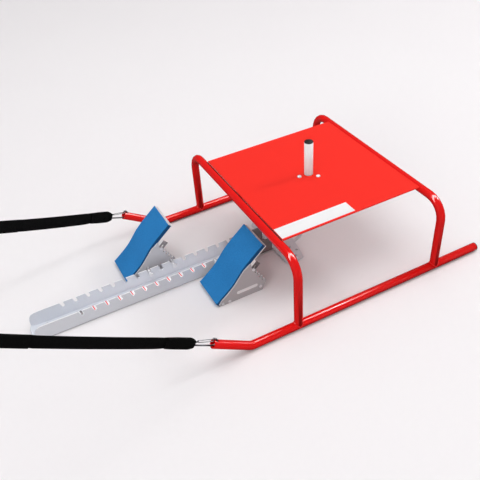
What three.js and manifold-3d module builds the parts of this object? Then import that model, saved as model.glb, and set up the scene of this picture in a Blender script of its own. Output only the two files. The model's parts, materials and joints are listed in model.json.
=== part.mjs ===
// Drag sled: a steel tube frame with a weight deck, its two tow lines, and the starting
// block that stands between the runners. Millimetres, +Z up. +X runs to the rear of the
// sled, +Y to the far runner, and the origin is on the floor under the middle of the whole.
import * as THREE from 'three';
import { mergeVertices } from 'three/addons/utils/BufferGeometryUtils.js';
import Module from 'manifold-3d';

const wasm = await Module();
wasm.setup();

// Driving dimensions: sled frame
const halfLength = 705; // floor centre to the runner caps, and to the nose of the rail
const runnerSpacing = 700; // between the axes of the two runners
const tubeDiameter = 27;
const tubeWall = 2.5;
const kickBendX = -148.5; // where the runner axis leaves the floor line
const kickAngle = THREE.MathUtils.degToRad(32.5);
const kickLengthNear = 140; // bend to open mouth, along the axis
const kickLengthFar = 156;
const kickBendRadius = 30;
const hookHoleDiameter = 11;
const hookHoleSetback = 9.5; // hole centre behind the mouth
const capFlange = 4.5; // part of the end cap that shows behind the tube
const capShoulder = 4; // height at which the cap's rounded rim meets its end
const capStem = 16;
const frontArchX = 12.5;
const archSpacing = 514; // between the two arch axes
const archHeight = 255.6; // floor to the axis of the arch top
const archBendRadius = 62;
const deckThickness = 4;
const deckTop = 267.8;
const deckWidth = 504;
const postFromFrontArch = 257;
const postDiameter = 29;
const postWall = 2.5;
const postRise = 118; // steel post above the deck
const plugHead = 2.5; // plug above the post
const plugStem = 20;
const plugEdge = 1.2; // rounded edge of the plug's head
const postFlangeDiameter = 95;
const postFlangeThickness = 5;
const boltCircle = 70;
const boltCount = 3;
const boltDiameter = 8;
const boltHeadDiameter = 15;
const boltHeadHeight = 5;
const boltTail = 3; // thread below the nut
const nutAcrossFlats = 13;
const nutHeight = 6.5;
const labelSkin = 0.4; // thickness of a stuck-on label
const deckLabelLength = 253;
const deckLabelWidth = 50;
const deckLabelStart = 12; // front arch axis to the label
const deckLabelInset = 6; // label to the near edge of the deck

// Driving dimensions: starting block
const railCentreY = 43.8; // the block stands loose, off the sled's centre plane
const railWidth = 73;
const railHeight = 55.6;
const railSheet = 3;
const railBend = 5; // outer bend radius of the channel
const railTail = 832; // nose to the rear end of the flanges
const webTail = 905; // nose to the rear end of the web
const noseUpturn = 45; // length over which the web turns up
const noseUpturnPull = 12; // how sharply the turned-up web starts
const noseHeight = 13; // floor to the underside of the web at the nose
const noseBow = 8.5; // from above, the two front corners lie this far behind the nose
const noseEdge = 32; // height at which a flange's front edge starts to curve back
const noseCrown = 36; // nose back to where the flanges reach full height
const noseCrownPull = 11.5; // how sharply a flange's front corner turns
const noseHoleDiameter = 7;
const noseHoleSetback = 53;
const noseHoleInset = 27; // centre line of the rail to either hole
const firstNotch = 159.9; // nose to the notch numbered 0
const notchPitch = 41.8;
const notchDepth = 20;
const notchWidth = 11;
const notchFlare = 2; // how much wider the mouth is
const notchLean = 7; // forward lean of a notch over its depth
const nearNotches = 15;
const farNotches = 16;
const plateSheet = 3;
const plateHalfWidth = 134;
const plateStart = 836; // nose to the front edge of the rear plate
const plateLength = 66; // front edge to the chamfered wing corner
const plateTaper = 12; // wing corner to where the edge runs back to the loop
const wingChamfer = 13;
const loopNeckX = 915; // nose to the root of the hand loop
const loopNeckHalf = 70;
const loopReach = 55; // root of the loop to its rearmost edge
const loopHalfWidth = 46;
const loopBand = 11;
const loopCornerShare = 0.8; // roundness of the loop's rear corners
const loopTilt = THREE.MathUtils.degToRad(25);
const nailHoleDiameter = 9;
const nailHoles = [[64, 86], [51, 61], [47, 110]]; // from the plate's front edge and centre line
const pitchesApart = 5; // notches between the two pedals
const farPedalNotch = 6;

// Driving dimensions: a pedal, measured from the front lower corner of its pad
const pedalFromStud = 77.6; // pad corner to the first stud
const studPitches = 2;
const studDiameter = 9;
const studHeadDiameter = 17;
const studHeadHeight = 4.5;
const studReach = 11; // inside of the flange to the head
const studCollarDiameter = 14; // collar that stops against the outside of the flange
const studCollarHeight = 4;
const pedalInset = 63.2; // centre line of the rail to the inner edge of the pad
const padWidth = 124.9;
const padThickness = 13;
const footSheet = 3;
const padRun = 177.1; // horizontal run of the pad's face
const padRise = 168.2;
const padBase = 13; // floor to the lower edge of the pad's face
const footStartShare = 0.03; // the foot plate starts this far up the pad's face
const padEndShare = 0.988; // and the pad stops this far up the foot plate
// share of the run, and how far the face bows off its chord there as a share of the rise
const padBowShares = [
  [0, 0], [0.14, -0.02], [0.3, -0.03], [0.44, -0.007], [0.56, 0.018], [0.72, 0.022], [0.86, 0.012], [1, 0],
];
const sideSheet = 2.5;
const sideGap = 0.6; // running gap between pad, ears and side plates
const sideSink = 6; // front edge of a side plate below the pad's face
const sideApexRun = 127.8;
const sideHeight = 125.4;
const sideHeelRun = 180;
const sideHeelHeight = 33.4;
const sideHeelRadius = 9;
const sideToeRun = 9;
const sideBaseRun = 165; // toe to the rear end of the bottom edge
const hingeRun = 23;
const hingeHeight = 7;
const hingeDiameter = 6;
const knuckleDiameter = 10.5;
const hingeHeadDiameter = 9;
const rodRun = 136.5;
const rodHeight = 98.4;
const rodDiameter = 6;
const rodHeadDiameter = 10;
const pinHeadHeight = 2; // heads of the rods, ties and hinge pin outside the side plates
const slotWidth = 6.6;
const slotSpacing = 15; // between slots, along the sloping rear edge
const slotCount = 5;
const topSlotLean = THREE.MathUtils.degToRad(8); // the slot in use leans forward
const topSlotLength = 26;
const slotLean = THREE.MathUtils.degToRad(-35); // the lower slots open to the rear
const slotLength = 14;
const earShares = [0.59, 0.76]; // where the ears stand along the foot plate
const earReach = 46; // pad's face to the free edge of an ear
const earSlotTravel = 11; // the rod moves this far along the ears as the foot plate is lifted
const earSlotPlay = 0.6;
const tieDiameter = 8;
const tieHeadDiameter = 11;
const frontTieRun = 46;
const frontTieHeight = 7;
const rearTieRun = 158;
const rearTieHeight = 18;
const pedalLabelLength = 75;
const pedalLabelWidth = 12;
const pedalLabelRun = 79.2;
const pedalLabelHeight = 28.5;
const pedalLabelSlope = THREE.MathUtils.degToRad(1.2);

// Driving dimensions: a tow line
const hookWire = 5;
const hookBigRadius = 12.1;
const hookSmallRadius = 5.6;
const hookSpan = 56; // between the centres of its two round ends
const hookRise = THREE.MathUtils.degToRad(22.2); // slope of the hook
const hookSeat = 11.5; // hook hole to the centre of the large end, along the pull
const hookDrop = 3.7; // and square to it
const nearPullYaw = THREE.MathUtils.degToRad(2.3);
const farPullYaw = THREE.MathUtils.degToRad(-20.6);
const noseBall = 7.4;
const gateWire = 2.2;
const gateBowBend = 3.5;
const gatePivotBend = 1.5;
const gateSetback = 8; // pivot from the small round end, back toward the nose
const strapWidth = 40;
const strapThickness = 3;
const strapFoldLength = 26; // tip of the fold to where its layers meet
const strapFoldSkin = 2.7; // webbing round the hook's wire
const strapTipWidth = 18; // the fold is gathered at the hook
const strapSewn = 90; // doubled, sewn length at each end
const strapLengthNear = 585;
const strapLengthFar = 500;
const strapSagShare = 0.006; // sag of a strap, of its length
const strapLiftNear = THREE.MathUtils.degToRad(7.3); // how much steeper than the hook a strap leaves it
const strapLiftFar = THREE.MathUtils.degToRad(4.6);
const strapRuns = 6; // stretches between the sewn ends
const strapEyeLength = 46;
const strapEyeOpening = 18;

const seatGap = 0.3; // clearance left where a curved or tilted piece seats on another
const overrun = 4; // how far a cutter reaches past the surface it cuts
const tubeSides = 20;
const boreSides = 12; // holes and small pins
const gateSides = 8;
const bendSteps = 6;

// A route given by its stations: one swept section stands at each of them.
class Route extends THREE.Curve {
  constructor(stations) {
    super();
    this.stations = stations;
  }

  getUtoTmapping(u) {
    return u;
  }

  getPoint(t) {
    return this.stations[Math.round(t * (this.stations.length - 1))].clone();
  }

  getTangent(t) {
    const last = this.stations.length - 1;
    const i = Math.round(t * last);
    const tangent = new THREE.Vector3();
    if (i > 0) {
      tangent.add(this.stations[i].clone().sub(this.stations[i - 1]).normalize());
    }
    if (i < last) {
      tangent.add(this.stations[i + 1].clone().sub(this.stations[i]).normalize());
    }
    return tangent.normalize();
  }
}

// Stations of a route through the corners, each rounded by an arc of its own radius.
function roundedRoute(corners, radii, steps = bendSteps) {
  const stations = [corners[0].clone()];
  for (let i = 1; i < corners.length - 1; i++) {
    const into = corners[i].clone().sub(corners[i - 1]).normalize();
    const out = corners[i + 1].clone().sub(corners[i]).normalize();
    const turn = into.angleTo(out);
    const tangentLength = radii[i - 1] * Math.tan(turn / 2);
    const start = corners[i].clone().addScaledVector(into, -tangentLength);
    const inward = out.clone().addScaledVector(into, -out.dot(into)).normalize();
    for (let k = 0; k <= steps; k++) {
      const angle = (turn * k) / steps;
      stations.push(start.clone()
        .addScaledVector(into, radii[i - 1] * Math.sin(angle))
        .addScaledVector(inward, radii[i - 1] * (1 - Math.cos(angle))));
    }
  }
  stations.push(corners[corners.length - 1].clone());
  return stations;
}

function circle(radius, sides = tubeSides) {
  const shape = new THREE.Shape();
  for (let i = 0; i < sides; i++) {
    const angle = (i * 2 * Math.PI) / sides;
    const [x, y] = [radius * Math.cos(angle), radius * Math.sin(angle)];
    if (i === 0) {
      shape.moveTo(x, y);
    } else {
      shape.lineTo(x, y);
    }
  }
  shape.closePath();
  return shape;
}

// Radius of a faceted hole whose flats clear a round piece of the given diameter.
function clearRadius(diameter, sides = boreSides) {
  return (diameter / 2 + seatGap) / Math.cos(Math.PI / sides);
}

function polygon(points) {
  return new THREE.Shape(points.map(([x, y]) => new THREE.Vector2(x, y)));
}

// A tube, or a solid bar where no wall is given, along the stations of a route.
function swept(stations, radius, wall = 0, sides = tubeSides) {
  const section = circle(radius, sides);
  if (wall > 0) {
    section.holes.push(circle(radius - wall, boreSides));
  }
  return new THREE.ExtrudeGeometry(section, { steps: stations.length - 1, extrudePath: new Route(stations) });
}

// A shape drawn in the floor plane and raised from one height to another.
function raised(shape, low, high) {
  const geometry = new THREE.ExtrudeGeometry(shape, { depth: high - low, bevelEnabled: false });
  return geometry.translate(0, 0, low);
}

// A shape drawn in side view (x, z) and run across the sled from one y to another.
function across(shape, nearY, farY) {
  const geometry = new THREE.ExtrudeGeometry(shape, { depth: farY - nearY, bevelEnabled: false });
  return geometry.rotateX(Math.PI / 2).translate(0, farY, 0);
}

// A shape drawn in end view (y, z) and run along the sled from one x to another.
function along(shape, frontX, rearX) {
  const geometry = new THREE.ExtrudeGeometry(shape, { depth: rearX - frontX, bevelEnabled: false });
  const turn = new THREE.Matrix4().makeBasis(
    new THREE.Vector3(0, 1, 0), new THREE.Vector3(0, 0, 1), new THREE.Vector3(1, 0, 0));
  return geometry.applyMatrix4(turn).translate(frontX, 0, 0);
}

// A revolved body: (radius, height) pairs from the axis to the axis, turned about +Z.
function revolved(profile, sides = tubeSides) {
  return new THREE.LatheGeometry(profile.map(([r, z]) => new THREE.Vector2(r, z)), sides).rotateX(Math.PI / 2);
}


function solid(geometry) {
  const bare = geometry.clone();
  bare.deleteAttribute('normal');
  bare.deleteAttribute('uv');
  const merged = mergeVertices(bare, 1e-4);
  return new wasm.Manifold(new wasm.Mesh({
    numProp: 3,
    vertProperties: Float32Array.from(merged.attributes.position.array),
    triVerts: Uint32Array.from(merged.index.array),
  }));
}

function geometryOf(manifold) {
  const mesh = manifold.getMesh();
  const geometry = new THREE.BufferGeometry();
  geometry.setAttribute('position', new THREE.BufferAttribute(Float32Array.from(mesh.vertProperties), 3));
  geometry.setIndex(Array.from(mesh.triVerts));
  const faceted = geometry.toNonIndexed();
  faceted.computeVertexNormals();
  return faceted;
}

function joined(first, ...others) {
  return geometryOf(others.reduce((sum, other) => sum.add(solid(other)), solid(first)));
}

function cut(body, ...cutters) {
  return geometryOf(cutters.reduce((rest, cutter) => rest.subtract(solid(cutter)), solid(body)));
}

function common(first, second) {
  return geometryOf(solid(first).intersect(solid(second)));
}

function range(first, last) {
  return Array.from({ length: last - first }, (_, i) => first + i);
}

const finishes = {
  red: { color: 0xd9140f, roughness: 0.32, metalness: 0 },
  deckRed: { color: 0xf22a1c, roughness: 0.5, metalness: 0 },
  white: { color: 0xe8e6e6, roughness: 0.4, metalness: 0 },
  black: { color: 0x1a1a1a, roughness: 0.6, metalness: 0 },
  zinc: { color: 0xb9bec6, roughness: 0.45, metalness: 0.8 },
  blue: { color: 0x2b78b8, roughness: 0.75, metalness: 0 },
  webbing: { color: 0x141414, roughness: 0.9, metalness: 0 },
  label: { color: 0xf4f4f4, roughness: 0.5, metalness: 0 },
};
const materials = Object.fromEntries(
  Object.entries(finishes).map(([name, values]) => [name, new THREE.MeshStandardMaterial(values)]));

const part = new THREE.Group();
part.name = 'drag_sled';

function place(name, finish, geometry, position = [0, 0, 0], parent = part) {
  const mesh = new THREE.Mesh(geometry, materials[finish]);
  mesh.name = name;
  mesh.position.set(...position);
  parent.add(mesh);
  return mesh;
}

const tubeRadius = tubeDiameter / 2;
const sideOf = { near: -1, far: 1 };

// Sled frame

const kickLength = { near: kickLengthNear, far: kickLengthFar };
const tubeEndX = halfLength - capFlange;

// Place on a runner's axis plane, measured outward from its mouth and up from its axis.
function atMouth(side, outward, up) {
  const reach = kickLength[side] + outward;
  return new THREE.Vector3(
    kickBendX - reach * Math.cos(kickAngle) + up * Math.sin(kickAngle),
    (sideOf[side] * runnerSpacing) / 2,
    tubeRadius + reach * Math.sin(kickAngle) + up * Math.cos(kickAngle));
}

function runner(side) {
  const y = (sideOf[side] * runnerSpacing) / 2;
  const stations = roundedRoute([
    atMouth(side, 0, 0),
    new THREE.Vector3(kickBendX, y, tubeRadius),
    new THREE.Vector3(tubeEndX, y, tubeRadius),
  ], [kickBendRadius]);
  const drill = swept(
    [atMouth(side, -hookHoleSetback, tubeRadius - tubeWall - overrun / 2),
      atMouth(side, -hookHoleSetback, tubeRadius + overrun)],
    hookHoleDiameter / 2);
  return cut(swept(stations, tubeRadius, tubeWall), drill);
}

function runnerCap() {
  const stem = (tubeRadius - tubeWall) * Math.cos(Math.PI / boreSides) - seatGap;
  return revolved([[0, -capStem], [stem, -capStem], [stem, 0], [tubeRadius, 0],
    [tubeRadius, capFlange / 2], [tubeRadius - capFlange / 2, capShoulder], [0, capFlange]])
    .rotateY(Math.PI / 2);
}

function arch(x) {
  const foot = runnerSpacing / 2;
  const top = archHeight;
  const stations = roundedRoute([
    new THREE.Vector3(x, -foot, tubeRadius),
    new THREE.Vector3(x, -foot, top),
    new THREE.Vector3(x, foot, top),
    new THREE.Vector3(x, foot, tubeRadius),
  ], [archBendRadius, archBendRadius]);
  const saddles = ['near', 'far'].map((side) => swept([
    new THREE.Vector3(x - tubeDiameter, (sideOf[side] * runnerSpacing) / 2, tubeRadius),
    new THREE.Vector3(x + tubeDiameter, (sideOf[side] * runnerSpacing) / 2, tubeRadius),
  ], tubeRadius + seatGap));
  return cut(swept(stations, tubeRadius, tubeWall), ...saddles);
}

const rearArchX = frontArchX + archSpacing;
const deckUnder = deckTop - deckThickness;
// The deck's edge lies against the flank of the arch tube at the plate's own height.
const deckContact = Math.sqrt(tubeRadius ** 2 - (deckUnder - archHeight) ** 2) + seatGap;
const deckFront = frontArchX + deckContact;
const deckRear = rearArchX - deckContact;
const postX = frontArchX + postFromFrontArch;

function boltPlace(i) {
  const angle = Math.PI + (i * 2 * Math.PI) / boltCount;
  return [postX + (boltCircle / 2) * Math.cos(angle), (boltCircle / 2) * Math.sin(angle)];
}

function drilled(plate, holes, low, high) {
  return cut(plate, ...holes.map(([x, y, radius]) =>
    raised(circle(radius, boreSides), low - overrun, high + overrun).translate(x, y, 0)));
}

const boltHoles = Array.from({ length: boltCount }, (_, i) => [...boltPlace(i), clearRadius(boltDiameter)]);

function deck() {
  const half = deckWidth / 2;
  const plate = raised(polygon([[deckFront, -half], [deckRear, -half], [deckRear, half], [deckFront, half]]),
    deckUnder, deckTop);
  return drilled(plate, [[postX, 0, clearRadius(postDiameter)], ...boltHoles], deckUnder, deckTop);
}

function deckLabel() {
  const start = frontArchX + deckLabelStart;
  const near = -deckWidth / 2 + deckLabelInset;
  return raised(polygon([[start, near], [start + deckLabelLength, near],
    [start + deckLabelLength, near + deckLabelWidth], [start, near + deckLabelWidth]]),
  deckTop, deckTop + labelSkin);
}

const flangeUnder = deckUnder - postFlangeThickness;

function postFlange() {
  const disc = raised(circle(postFlangeDiameter / 2), flangeUnder, deckUnder)
    .translate(postX, 0, 0);
  return drilled(disc, boltHoles, flangeUnder, deckUnder);
}

function weightPost() {
  const section = circle(postDiameter / 2);
  section.holes.push(circle(postDiameter / 2 - postWall));
  return raised(section, deckUnder, deckTop + postRise);
}

function postPlug() {
  const stem = (postDiameter / 2 - postWall) * Math.cos(Math.PI / tubeSides) - seatGap;
  const head = postDiameter / 2;
  return revolved([[0, -plugStem], [stem, -plugStem], [stem, 0], [head, 0],
    [head, plugHead - plugEdge], [head - plugEdge, plugHead], [0, plugHead]]);
}

function domeHead(radius, height, rings = 3) {
  return Array.from({ length: rings + 1 }, (_, i) => {
    const angle = (i * Math.PI) / (2 * rings);
    return [radius * Math.cos(angle), height * Math.sin(angle)];
  });
}

// The head's seat is at height 0, the thread below it.
function postBolt() {
  const tail = deckThickness + postFlangeThickness + nutHeight + boltTail;
  const dome = domeHead(boltHeadDiameter / 2, boltHeadHeight);
  dome[dome.length - 1][0] = 0;
  return revolved([[0, -tail], [boltDiameter / 2, -tail], [boltDiameter / 2, 0], ...dome], boreSides);
}

function hexNut() {
  const corner = nutAcrossFlats / Math.sqrt(3);
  const hexagon = circle(corner, 6);
  hexagon.holes.push(circle(clearRadius(boltDiameter), boreSides));
  return raised(hexagon, -nutHeight, 0);
}

for (const side of ['near', 'far']) {
  place(`runner_${side}`, 'red', runner(side));
  place(`runner_cap_${side}`, 'black', runnerCap(), [tubeEndX, (sideOf[side] * runnerSpacing) / 2, tubeRadius]);
}
place('front_arch', 'red', arch(frontArchX));
place('rear_arch', 'red', arch(rearArchX));
place('deck', 'deckRed', deck());
place('deck_label', 'label', deckLabel());
place('post_flange', 'zinc', postFlange());
place('weight_post', 'white', weightPost(), [postX, 0, 0]);
place('post_plug', 'black', postPlug(), [postX, 0, deckTop + postRise]);
for (let i = 0; i < boltCount; i++) {
  place(`post_bolt_${i + 1}`, 'zinc', postBolt(), [...boltPlace(i), deckTop]);
  place(`post_nut_${i + 1}`, 'zinc', hexNut(), [...boltPlace(i), flangeUnder]);
}

// Starting block

const block = new THREE.Group();
block.position.set(-halfLength, railCentreY, 0); // its own frame starts under the rail's nose
part.add(block);

const railHalf = railWidth / 2;
const noseCurve = new THREE.QuadraticBezierCurve(
  new THREE.Vector2(noseUpturn, 0), new THREE.Vector2(noseUpturnPull, 0), new THREE.Vector2(0, noseHeight));
const crownCurve = new THREE.QuadraticBezierCurve(
  new THREE.Vector2(noseBow, noseEdge), new THREE.Vector2(noseCrownPull, railHeight),
  new THREE.Vector2(noseCrown, railHeight));

// Outline of one notch from its rear lip to its front lip, with a round seat.
function notchOutline(centre) {
  const radius = notchWidth / 2;
  const seat = new THREE.Vector2(centre, railHeight - notchDepth + radius);
  const lean = notchLean * ((notchDepth - radius) / notchDepth);
  const points = [[centre - lean + radius + notchFlare / 2, railHeight]];
  for (let k = 0; k <= bendSteps; k++) {
    const angle = -(k * Math.PI) / bendSteps;
    points.push([seat.x + radius * Math.cos(angle), seat.y + radius * Math.sin(angle)]);
  }
  points.push([centre - lean - radius - notchFlare / 2, railHeight]);
  return points;
}

function notchPlace(number) {
  return firstNotch + number * notchPitch;
}

// Side view of a flange: curved nose, notched upper edge, straight rear end.
function flangeOutline(numbers) {
  const outline = noseCurve.getPoints(bendSteps).map((p) => [p.x, p.y]);
  outline.push(...crownCurve.getPoints(bendSteps).map((p) => [p.x, p.y]));
  const top = numbers.flatMap((number) => notchOutline(notchPlace(number)).reverse());
  outline.push(...top, [railTail, railHeight], [railTail, 0]);
  return polygon(outline);
}

function channelSection() {
  const points = [[-railHalf, railHeight], [-railHalf, railBend]];
  const bends = [[-railHalf + railBend, Math.PI], [railHalf - railBend, 1.5 * Math.PI]];
  const inner = [];
  for (const [centre, from] of bends) {
    for (let k = 0; k <= bendSteps / 2; k++) {
      const angle = from + (k * Math.PI) / bendSteps;
      points.push([centre + railBend * Math.cos(angle), railBend + railBend * Math.sin(angle)]);
      const radius = railBend - railSheet;
      inner.push([centre + radius * Math.cos(angle), railBend + radius * Math.sin(angle)]);
    }
  }
  points.push([railHalf, railHeight], [railHalf - railSheet, railHeight], ...inner.reverse(),
    [-railHalf + railSheet, railHeight]);
  return polygon(points);
}

function rail() {
  const bar = along(channelSection(), -overrun, railTail + overrun);
  const nearHalf = common(bar, across(flangeOutline(range(0, nearNotches)), -railWidth, 0));
  const farHalf = common(bar, across(flangeOutline(range(-1, farNotches - 1)), 0, railWidth));
  const lower = noseCurve.getPoints(bendSteps).map((p) => [p.x, p.y]);
  const upper = noseCurve.getPoints(bendSteps).map((p, i) => {
    const tangent = noseCurve.getTangent(i / bendSteps);
    return [p.x - railSheet * tangent.y * -1, p.y + railSheet * -tangent.x];
  });
  const web = across(polygon([...lower, ...upper.reverse()]), -railHalf, railHalf);
  const tail = raised(polygon([[railTail - overrun, -railHalf + railBend], [webTail, -railHalf + railBend],
    [webTail, railHalf - railBend], [railTail - overrun, railHalf - railBend]]), 0, railSheet);
  const holes = [-noseHoleInset, noseHoleInset].map((y) => swept(
    [new THREE.Vector3(noseHoleSetback, y, -overrun), new THREE.Vector3(noseHoleSetback, y, noseHeight)],
    noseHoleDiameter / 2, 0, boreSides));
  const plan = raised(noseOutline(), -overrun, railHeight + overrun);
  return cut(common(joined(nearHalf, farHalf, web, tail), plan), ...holes);
}

// Plan of the rail, its front end bowed forward in the middle.
function noseOutline() {
  const outline = range(-bendSteps, bendSteps + 1).map((k) => [
    noseBow * (k / bendSteps) ** 2, railHalf * (k / bendSteps)]);
  outline.push([webTail + overrun, railHalf], [webTail + overrun, -railHalf]);
  return polygon(outline);
}

const plateUnder = railSheet;
const plateTop = plateUnder + plateSheet;

// Nail plate on the rail's tail, with its bent-up hand loop.
function rearPlate() {
  const wing = plateStart + plateLength;
  const half = plateHalfWidth;
  const flat = raised(polygon([
    [plateStart, -half + wingChamfer], [plateStart + wingChamfer, -half], [wing - wingChamfer, -half],
    [wing, -half + wingChamfer / 2], [wing + plateTaper, -loopNeckHalf], [loopNeckX, -loopHalfWidth],
    [loopNeckX, loopHalfWidth], [wing + plateTaper, loopNeckHalf], [wing, half - wingChamfer / 2],
    [wing - wingChamfer, half], [plateStart + wingChamfer, half], [plateStart, half - wingChamfer],
  ]), plateUnder, plateTop);
  const holes = nailHoles.flatMap(([back, out]) => [-out, out].map((y) => [plateStart + back, y, nailHoleDiameter / 2]));
  const loop = loopOutline(loopHalfWidth, loopReach);
  loop.holes.push(loopOutline(loopHalfWidth - loopBand, loopReach - loopBand, loopBand / 2));
  const bentLoop = raised(loop, 0, plateSheet).rotateY(-loopTilt).translate(loopNeckX, 0, plateUnder);
  return joined(drilled(flat, holes, plateUnder, plateTop), bentLoop);
}

// D-shaped outline, flat at its root and round at the back.
function loopOutline(half, reach, root = 0) {
  const shape = new THREE.Shape();
  const corner = Math.min(half, reach - root) * loopCornerShare;
  shape.moveTo(root, -half);
  shape.lineTo(reach - corner, -half);
  shape.quadraticCurveTo(reach, -half, reach, -half + corner);
  shape.lineTo(reach, half - corner);
  shape.quadraticCurveTo(reach, half, reach - corner, half);
  shape.lineTo(root, half);
  shape.closePath();
  return new THREE.Shape(shape.getPoints(bendSteps));
}

place('rail', 'zinc', rail(), undefined, block);
place('rear_plate', 'zinc', rearPlate(), undefined, block);

// Pedals. Each is drawn in its own frame: x back from the front lower corner of the pad,
// y away from the rail from the pad's inner edge, z up from the floor.

const padSlope = new THREE.Vector2(padRun, padRise).normalize();
const facePoints = padBowShares.map(([run, bow]) => new THREE.Vector2(
  run * padRun - bow * padRise * padSlope.y,
  padBase + run * padRise + bow * padRise * padSlope.x));
const faceCurve = new THREE.SplineCurve(facePoints);
const faceSteps = 12;
const faceShares = [0, footStartShare, ...range(1, faceSteps + 1).map((i) => i / faceSteps)];

// The face line at the given shares of it, moved square to itself into the pedal.
function faceOffset(depth, shares = faceShares) {
  return shares.map((t) => {
    const point = faceCurve.getPoint(t);
    const tangent = faceCurve.getTangent(t);
    return [point.x + tangent.y * depth, point.y - tangent.x * depth];
  });
}

const hinge = new THREE.Vector2(hingeRun, hingeHeight);
const rod = new THREE.Vector2(rodRun, rodHeight);
const apex = new THREE.Vector2(sideApexRun, sideHeight);
const heel = new THREE.Vector2(sideHeelRun, sideHeelHeight);

// Slot with a round seat, open at its far end, leaning from upright by the given angle.
function slot(seat, length, width, lean) {
  const radius = width / 2;
  const points = [[radius, length]];
  for (let k = 0; k <= bendSteps; k++) {
    const angle = (-k * Math.PI) / bendSteps;
    points.push([radius * Math.cos(angle), radius * Math.sin(angle)]);
  }
  points.push([-radius, length]);
  const [cos, sin] = [Math.cos(lean), Math.sin(lean)];
  return polygon(points.map(([x, z]) => [seat.x + x * cos - z * sin, seat.y + x * sin + z * cos]));
}

// Seat of each slot: the first holds the support rod, the others step down the rear edge.
function slotSeat(i) {
  const rearEdge = heel.clone().sub(apex).normalize();
  return rod.clone().addScaledVector(rearEdge, i * slotSpacing);
}

function sideOutline() {
  const front = faceOffset(sideSink).filter(([x]) => x > sideToeRun && x < apex.x - padThickness);
  const outline = [[sideToeRun, 0], [sideToeRun, hingeHeight], ...front, [apex.x, apex.y]];
  for (let k = 0; k <= bendSteps / 2; k++) {
    const angle = Math.PI / 6 - (k * Math.PI) / bendSteps;
    outline.push([heel.x - sideHeelRadius * (1 - Math.cos(angle)), heel.y + sideHeelRadius * Math.sin(angle)]);
  }
  outline.push([sideBaseRun, 0]);
  return polygon(outline);
}

// y of a piece in a pedal's own frame: out from the pad's inner edge, away from the rail.
function outward(side, from, to) {
  return side === 'far' ? [from, to] : [-to, -from];
}

const innerSide = [-sideGap - sideSheet, -sideGap];
const outerSide = [padWidth + sideGap, padWidth + sideGap + sideSheet];

function sidePlate(side, [from, to]) {
  const hole = (at, diameter) => across(
    circle(clearRadius(diameter), boreSides), ...outward(side, from - overrun, to + overrun)).translate(at.x, 0, at.y);
  const slots = range(0, slotCount).map((i) => across(
    slot(slotSeat(i), i > 0 ? slotLength : topSlotLength, slotWidth, i > 0 ? slotLean : topSlotLean),
    ...outward(side, from - overrun, to + overrun)));
  return cut(across(sideOutline(), ...outward(side, from, to)), hole(hinge, hingeDiameter),
    hole(frontTie, tieDiameter), hole(rearTie, tieDiameter), ...slots);
}

const frontTie = new THREE.Vector2(frontTieRun, frontTieHeight);
const rearTie = new THREE.Vector2(rearTieRun, rearTieHeight);

// Pin through both side plates, headed outside them.
function headedPin(side, at, diameter, headDiameter) {
  const inner = innerSide[0] - seatGap;
  const outer = outerSide[1] + seatGap;
  const pieces = [[inner, outer, diameter], [inner - pinHeadHeight, inner, headDiameter],
    [outer, outer + pinHeadHeight, headDiameter]];
  const [shank, ...heads] = pieces.map(([from, to, width], i) => across(
    circle(width / 2, boreSides),
    ...outward(side, i === 0 ? from - pinHeadHeight / 2 : from, i === 0 ? to + pinHeadHeight / 2 : to)));
  return joined(shank, ...heads).translate(at.x, 0, at.y);
}

function footPad(side) {
  const shares = [...faceShares.slice(0, -1), padEndShare];
  const outline = [...faceOffset(0, shares), ...faceOffset(padThickness - seatGap, shares).reverse()];
  return across(polygon(outline), ...outward(side, 0, padWidth));
}

function footPlate(side) {
  const footShares = faceShares.slice(1);
  const sheet = across(polygon([...faceOffset(padThickness, footShares),
    ...faceOffset(padThickness + footSheet, footShares).reverse()]), ...outward(side, 0, padWidth));
  const middle = padThickness + footSheet / 2;
  const ear = polygon([...faceOffset(middle, earShares), ...faceOffset(earReach, earShares).reverse()]);
  const ears = [[0, sideSheet], [padWidth - sideSheet, padWidth]].map((span) => across(ear, ...outward(side, ...span)));
  const radial = rod.clone().sub(hinge).normalize();
  const slotHalf = rodDiameter / 2 + earSlotPlay;
  const earSlot = across(capsule(rod, radial, earSlotTravel, slotHalf), ...outward(side, -overrun, padWidth + overrun));
  const knuckle = across(circle(knuckleDiameter / 2, boreSides), ...outward(side, 0, padWidth)).translate(hinge.x, 0, hinge.y);
  const bore = across(circle(clearRadius(hingeDiameter), boreSides), ...outward(side, -overrun, padWidth + overrun))
    .translate(hinge.x, 0, hinge.y);
  return cut(joined(sheet, ...ears, knuckle), earSlot, bore);
}

// Round-ended slot from a place along a direction.
function capsule(start, direction, length, radius) {
  const points = [];
  const heading = Math.atan2(direction.y, direction.x);
  for (const [reach, from] of [[0, heading + Math.PI / 2], [length, heading - Math.PI / 2]]) {
    for (let k = 0; k <= bendSteps; k++) {
      const angle = from + (k * Math.PI) / bendSteps;
      points.push([start.x + direction.x * reach + radius * Math.cos(angle),
        start.y + direction.y * reach + radius * Math.sin(angle)]);
    }
  }
  return polygon(points);
}

// Stud from the inner side plate through a notch, its domed head inside the flange.
function stud(side) {
  const plateFace = pedalInset + innerSide[0];
  const collarFace = plateFace - railHalf - seatGap;
  const headFace = plateFace - railHalf + railSheet + studReach;
  const dome = domeHead(studHeadDiameter / 2, studHeadHeight).map(([r, z]) => [r, headFace + z]);
  dome[dome.length - 1][0] = 0;
  const body = revolved([[0, 0], [studDiameter / 2, 0], [studDiameter / 2, collarFace - studCollarHeight],
    [studCollarDiameter / 2, collarFace - studCollarHeight], [studCollarDiameter / 2, collarFace],
    [studDiameter / 2, collarFace], [studDiameter / 2, headFace], ...dome], boreSides);
  const towardRail = side === 'far' ? Math.PI / 2 : -Math.PI / 2;
  return body.rotateX(towardRail).translate(0, outward(side, innerSide[0], innerSide[0])[0], 0);
}

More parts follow.
